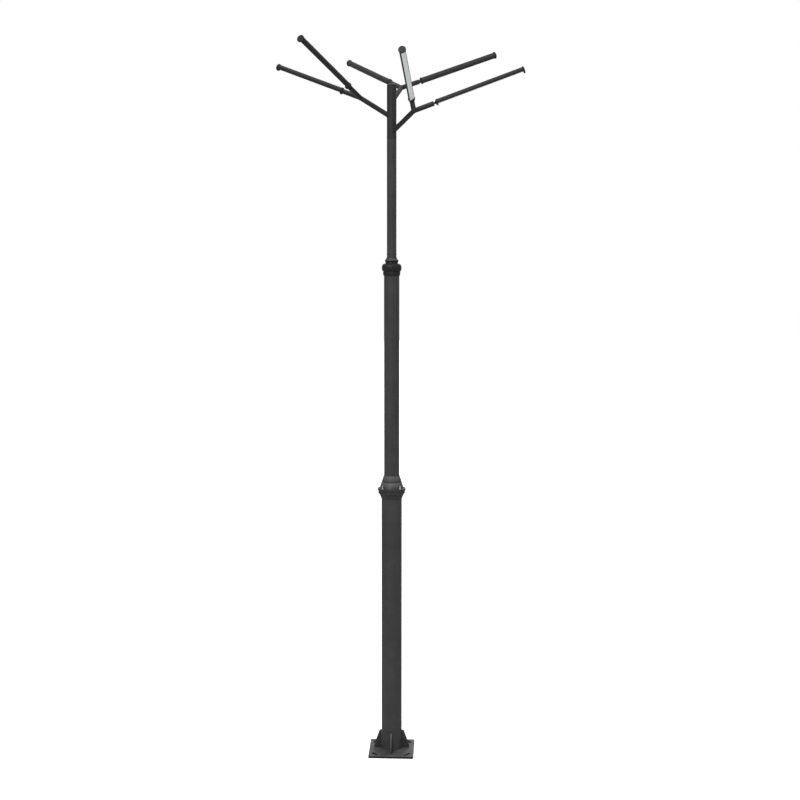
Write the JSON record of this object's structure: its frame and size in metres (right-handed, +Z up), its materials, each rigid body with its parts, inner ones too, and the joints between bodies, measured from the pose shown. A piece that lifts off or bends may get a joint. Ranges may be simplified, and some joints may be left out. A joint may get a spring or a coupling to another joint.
{
  "type": "street lamp post",
  "caption": "Tall stepped round steel lamp post with a gusseted base plate, turned collars and tubular lamps on forked arms that each turn about their own axis.",
  "frame": {"origin": "on the post's axis at the underside of the base plate, where the post stands on its foundation", "axes": "+Z up along the post; the service door is on the +Y side; the base plate's sides run along X and Y"},
  "size_m": [2.2136, 2.2135, 6.3259],
  "materials": {
    "post_paint": "satin textured powder coat, dark grey",
    "collar_paint": "satin powder coat on cast metal, dark grey",
    "lamp_paint": "satin powder coat, dark grey",
    "aluminium_paint": "powder coated aluminium, dark grey",
    "stainless": "bright stainless steel",
    "opal": "opal acrylic, satin, unlit",
    "led_board": "white circuit board",
    "seal_rubber": "matt",
    "zinc": "zinc plated steel",
    "driver_case": "moulded case, light grey",
    "terminal_plastic": "moulded, grey",
    "brass": "plain",
    "cable_rubber": "matt cable sheath"
  },
  "bodies": {
    "post": {"base_plate": "post_paint", "gusset_1": "post_paint", "gusset_2": "post_paint", "gusset_3": "post_paint", "gusset_4": "post_paint", "lower_tube": "post_paint", "lower_collar": "collar_paint", "flange_bolt_1": "stainless", "flange_bolt_2": "stainless", "flange_bolt_3": "stainless", "flange_bolt_4": "stainless", "middle_tube": "post_paint", "upper_collar": "collar_paint", "top_tube": "post_paint", "head_sleeve": "post_paint", "head_cap": "post_paint", "arm_1": "lamp_paint", "arm_2": "lamp_paint", "arm_3": "lamp_paint", "door_hinge_lower": "stainless", "door_hinge_upper": "stainless", "gear_tray": "zinc", "led_driver_1": "driver_case", "led_driver_2": "driver_case", "terminal_block": "terminal_plastic", "earth_stud": "brass", "riser_cable": "cable_rubber"},
    "door": {"service_door": "post_paint", "door_seal": "seal_rubber"},
    "lock": {"door_lock": "zinc"},
    "lamp_1_left": {"lamp_1_left_hub": "lamp_paint", "lamp_1_left_housing": "aluminium_paint", "lamp_1_left_diffuser": "opal", "lamp_1_left_led_board": "led_board", "lamp_1_left_end_cap": "aluminium_paint"},
    "lamp_1_right": {"lamp_1_right_hub": "lamp_paint", "lamp_1_right_housing": "aluminium_paint", "lamp_1_right_diffuser": "opal", "lamp_1_right_led_board": "led_board", "lamp_1_right_end_cap": "aluminium_paint"},
    "lamp_2_left": {"lamp_2_left_hub": "lamp_paint", "lamp_2_left_housing": "aluminium_paint", "lamp_2_left_diffuser": "opal", "lamp_2_left_led_board": "led_board", "lamp_2_left_end_cap": "aluminium_paint"},
    "lamp_2_right": {"lamp_2_right_hub": "lamp_paint", "lamp_2_right_housing": "aluminium_paint", "lamp_2_right_diffuser": "opal", "lamp_2_right_led_board": "led_board", "lamp_2_right_end_cap": "aluminium_paint"},
    "lamp_3_left": {"lamp_3_left_hub": "lamp_paint", "lamp_3_left_housing": "aluminium_paint", "lamp_3_left_diffuser": "opal", "lamp_3_left_led_board": "led_board", "lamp_3_left_end_cap": "aluminium_paint"},
    "lamp_3_right": {"lamp_3_right_hub": "lamp_paint", "lamp_3_right_housing": "aluminium_paint", "lamp_3_right_diffuser": "opal", "lamp_3_right_led_board": "led_board", "lamp_3_right_end_cap": "aluminium_paint"}
  },
  "joints": [
    {"name": "door_swing", "type": "hinge", "parent": "post", "child": "door", "pos_m": [-0.06293, 0.07772, 0.808], "axis": [0, 0, 1], "range_deg": [0, 110]},
    {"name": "lock_turn", "type": "hinge", "parent": "door", "child": "lock", "pos_m": [0.02736, 0.07518, 0.808], "axis": [0.342, 0.9397, 0], "range_deg": [0, 90]},
    {"name": "lamp_1_left_turn", "type": "hinge", "parent": "post", "child": "lamp_1_left", "pos_m": [0.37284, -0.18576, 5.75118], "axis": [0.935, 0.0654, 0.3486], "range_deg": [-92, 88]},
    {"name": "lamp_1_right_turn", "type": "hinge", "parent": "post", "child": "lamp_1_right", "pos_m": [0.18576, -0.37284, 5.75118], "axis": [-0.0654, -0.935, 0.3486], "range_deg": [-124, 56]},
    {"name": "lamp_2_left_turn", "type": "hinge", "parent": "post", "child": "lamp_2_left", "pos_m": [-0.34729, -0.23, 5.88218], "axis": [-0.4109, -0.8424, 0.3486], "range_deg": [-32, 148]},
    {"name": "lamp_2_right_turn", "type": "hinge", "parent": "post", "child": "lamp_2_right", "pos_m": [-0.41577, 0.02554, 5.88218], "axis": [-0.777, 0.5241, 0.3486], "range_deg": [-83, 97]},
    {"name": "lamp_3_left_turn", "type": "hinge", "parent": "post", "child": "lamp_3_left", "pos_m": [-0.02554, 0.41577, 6.01318], "axis": [-0.5241, 0.777, 0.3486], "range_deg": [-30, 150]},
    {"name": "lamp_3_right_turn", "type": "hinge", "parent": "post", "child": "lamp_3_right", "pos_m": [0.23, 0.34729, 6.01318], "axis": [0.8424, 0.4109, 0.3486], "range_deg": [-150, 30]}
  ]
}
